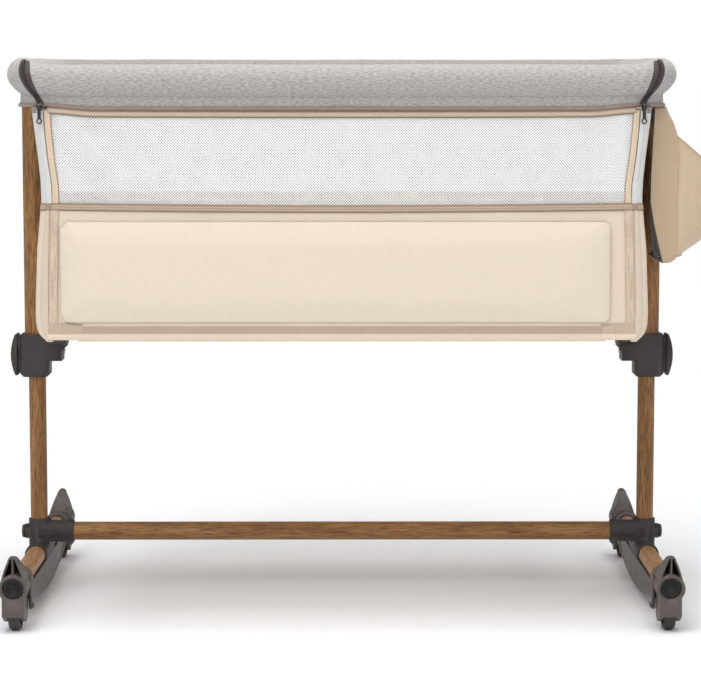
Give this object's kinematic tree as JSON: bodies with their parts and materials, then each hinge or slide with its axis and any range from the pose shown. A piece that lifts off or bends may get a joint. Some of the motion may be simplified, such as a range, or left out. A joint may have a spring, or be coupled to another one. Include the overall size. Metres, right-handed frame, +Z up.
{
  "type": "bedside sleeper crib",
  "caption": "Height-adjustable bedside crib with mesh sides, a fold-down front side, rocker runners, turning wheel feet and a hanging storage bag.",
  "frame": {"origin": "on the floor under the middle of the whole crib, its storage bag included", "axes": "+X along the length, towards the end with the storage bag; +Y from the folding side to the rear; +Z up"},
  "size_m": [1.023, 0.58, 0.79],
  "materials": {
    "wood_look_tube": "satin",
    "frame_tube": "satin",
    "steel_tube": "satin",
    "steel_bright": "satin",
    "dark_plastic": "matte",
    "taupe_plastic": "matte",
    "glide_plastic": "satin",
    "wheel_plastic": "matte",
    "board": "matte",
    "mattress_cloth": "matte",
    "grey_cloth": "matte",
    "cream_cloth": "matte",
    "white_mesh": "matte",
    "tan_cloth": "matte",
    "zip_cloth": "matte",
    "zip_metal": "satin"
  },
  "bodies": {
    "base": {"lower_post_left": "wood_look_tube", "lower_post_right": "wood_look_tube", "post_glides": "glide_plastic", "crossbar": "wood_look_tube", "foot_tube_left": "wood_look_tube", "foot_tube_right": "wood_look_tube", "base_joint_left": "dark_plastic", "base_joint_right": "dark_plastic", "post_bolts": "steel_bright", "bolt_caps": "dark_plastic", "runner_left": "taupe_plastic", "runner_right": "taupe_plastic", "tube_end_plugs": "dark_plastic"},
    "bassinet": {"sleeve_left": "dark_plastic", "sleeve_right": "dark_plastic", "strap_studs": "steel_bright", "upper_post_left": "wood_look_tube", "upper_post_right": "wood_look_tube", "rail_saddles": "dark_plastic", "fixed_rail": "steel_tube", "bottom_frame": "frame_tube", "frame_bends": "frame_tube", "hinge_brackets": "steel_bright", "bed_board": "board", "mattress": "mattress_cloth", "rail_cover": "grey_cloth", "side_cloth": "cream_cloth", "rear_net": "white_mesh", "base_cloth": "cream_cloth", "storage_bag": "tan_cloth", "zip_tapes": "zip_cloth"},
    "drop_side": {"drop_frame": "frame_tube", "drop_rail_cover": "grey_cloth", "front_panel": "cream_cloth", "front_net": "white_mesh"},
    "foot_unit_front_left": {"foot_front_left": "taupe_plastic", "wheel_axle_front_left": "steel_bright"},
    "latch_front_left": {"foot_latch_front_left": "taupe_plastic"},
    "roller_front_left": {"wheel_front_left": "wheel_plastic"},
    "foot_unit_front_right": {"foot_front_right": "taupe_plastic", "wheel_axle_front_right": "steel_bright"},
    "latch_front_right": {"foot_latch_front_right": "taupe_plastic"},
    "roller_front_right": {"wheel_front_right": "wheel_plastic"},
    "foot_unit_rear_left": {"foot_rear_left": "taupe_plastic", "wheel_axle_rear_left": "steel_bright"},
    "latch_rear_left": {"foot_latch_rear_left": "taupe_plastic"},
    "roller_rear_left": {"wheel_rear_left": "wheel_plastic"},
    "foot_unit_rear_right": {"foot_rear_right": "taupe_plastic", "wheel_axle_rear_right": "steel_bright"},
    "latch_rear_right": {"foot_latch_rear_right": "taupe_plastic"},
    "roller_rear_right": {"wheel_rear_right": "wheel_plastic"},
    "button_left": {"height_button_left": "dark_plastic", "lock_pin_left": "steel_bright"},
    "slider_left": {"zip_slider_left": "zip_metal"},
    "pull_left": {"zip_pull_left": "zip_metal"},
    "button_right": {"height_button_right": "dark_plastic", "lock_pin_right": "steel_bright"},
    "slider_right": {"zip_slider_right": "zip_metal"},
    "pull_right": {"zip_pull_right": "zip_metal"}
  },
  "joints": [
    {"name": "foot_turn_front_left", "type": "hinge", "parent": "base", "child": "foot_unit_front_left", "pos_m": [-0.47451, -0.258, 0.062], "axis": [0, -1, 0], "range_deg": [0, 180]},
    {"name": "latch_pull_front_left", "type": "slide", "parent": "foot_unit_front_left", "child": "latch_front_left", "axis": [1, 0, 0], "range_m": [0, 0.0035], "stiffness_N_per_m": 900},
    {"name": "wheel_roll_front_left", "type": "hinge", "parent": "foot_unit_front_left", "child": "roller_front_left", "pos_m": [-0.47451, -0.262, 0.0225], "axis": [1, 0, 0], "continuous": true},
    {"name": "foot_turn_front_right", "type": "hinge", "parent": "base", "child": "foot_unit_front_right", "pos_m": [0.42549, -0.258, 0.062], "axis": [0, 1, 0], "range_deg": [0, 180]},
    {"name": "latch_pull_front_right", "type": "slide", "parent": "foot_unit_front_right", "child": "latch_front_right", "axis": [-1, 0, 0], "range_m": [0, 0.0035], "stiffness_N_per_m": 900},
    {"name": "wheel_roll_front_right", "type": "hinge", "parent": "foot_unit_front_right", "child": "roller_front_right", "pos_m": [0.42549, -0.262, 0.0225], "axis": [1, 0, 0], "continuous": true},
    {"name": "foot_turn_rear_left", "type": "hinge", "parent": "base", "child": "foot_unit_rear_left", "pos_m": [-0.47451, 0.258, 0.062], "axis": [0, -1, 0], "range_deg": [0, 180]},
    {"name": "latch_pull_rear_left", "type": "slide", "parent": "foot_unit_rear_left", "child": "latch_rear_left", "axis": [1, 0, 0], "range_m": [0, 0.0035], "stiffness_N_per_m": 900},
    {"name": "wheel_roll_rear_left", "type": "hinge", "parent": "foot_unit_rear_left", "child": "roller_rear_left", "pos_m": [-0.47451, 0.262, 0.0225], "axis": [1, 0, 0], "continuous": true},
    {"name": "foot_turn_rear_right", "type": "hinge", "parent": "base", "child": "foot_unit_rear_right", "pos_m": [0.42549, 0.258, 0.062], "axis": [0, 1, 0], "range_deg": [0, 180]},
    {"name": "latch_pull_rear_right", "type": "slide", "parent": "foot_unit_rear_right", "child": "latch_rear_right", "axis": [-1, 0, 0], "range_m": [0, 0.0035], "stiffness_N_per_m": 900},
    {"name": "wheel_roll_rear_right", "type": "hinge", "parent": "foot_unit_rear_right", "child": "roller_rear_right", "pos_m": [0.42549, 0.262, 0.0225], "axis": [1, 0, 0], "continuous": true},
    {"name": "height_slide", "type": "slide", "parent": "base", "child": "bassinet", "axis": [0, 0, 1], "range_m": [-0.1596, 0]},
    {"name": "button_press_left", "type": "slide", "parent": "bassinet", "child": "button_left", "axis": [1, 0, 0], "range_m": [0, 0.004], "stiffness_N_per_m": 1500},
    {"name": "button_press_right", "type": "slide", "parent": "bassinet", "child": "button_right", "axis": [-1, 0, 0], "range_m": [0, 0.004], "stiffness_N_per_m": 1500},
    {"name": "drop_side_fold", "type": "hinge", "parent": "bassinet", "child": "drop_side", "pos_m": [-0.02451, -0.262, 0.412], "axis": [1, 0, 0], "range_deg": [0, 170]},
    {"name": "zip_run_left", "type": "slide", "parent": "bassinet", "child": "slider_left", "axis": [0, 0, -1], "range_m": [0, 0.27]},
    {"name": "zip_pull_swing_left", "type": "hinge", "parent": "slider_left", "child": "pull_left", "pos_m": [-0.43101, -0.2792, 0.7195], "axis": [-1, 0, 0], "range_deg": [0, 110]},
    {"name": "zip_run_right", "type": "slide", "parent": "bassinet", "child": "slider_right", "axis": [0, 0, -1], "range_m": [0, 0.27]},
    {"name": "zip_pull_swing_right", "type": "hinge", "parent": "slider_right", "child": "pull_right", "pos_m": [0.38199, -0.2792, 0.7195], "axis": [-1, 0, 0], "range_deg": [0, 110]}
  ]
}
